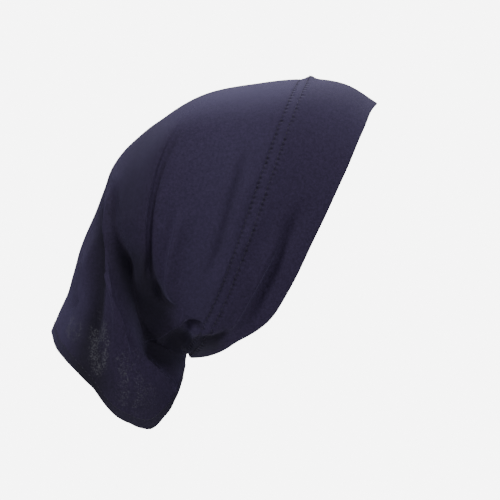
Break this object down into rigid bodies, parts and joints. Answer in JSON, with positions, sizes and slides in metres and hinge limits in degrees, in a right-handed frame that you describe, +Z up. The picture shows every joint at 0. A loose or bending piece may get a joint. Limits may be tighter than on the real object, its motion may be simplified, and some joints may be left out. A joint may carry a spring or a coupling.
{
  "type": "tube cap",
  "caption": "Stretch jersey tube cap as worn: a doubled front band, a smooth crown and a loose gathered pouch at the back that ends in an open hemmed rim.",
  "frame": {"origin": "inside of the crown at its highest bearing point, where the cap rests on the head that wears it", "axes": "+X towards the front edge, +Z up as worn, +Y across the cap from the side seen in the picture to the hidden side"},
  "size_m": [0.229, 0.1554, 0.2437],
  "materials": {
    "band_jersey": "matte dark navy jersey, doubled, with a faint sheen",
    "tube_jersey": "matte dark navy jersey, one layer",
    "hem_jersey": "matte dark navy jersey, turned edge"
  },
  "bodies": {
    "root": {"face_band": "band_jersey", "tube_body": "tube_jersey", "rear_hem": "hem_jersey"}
  },
  "joints": []
}
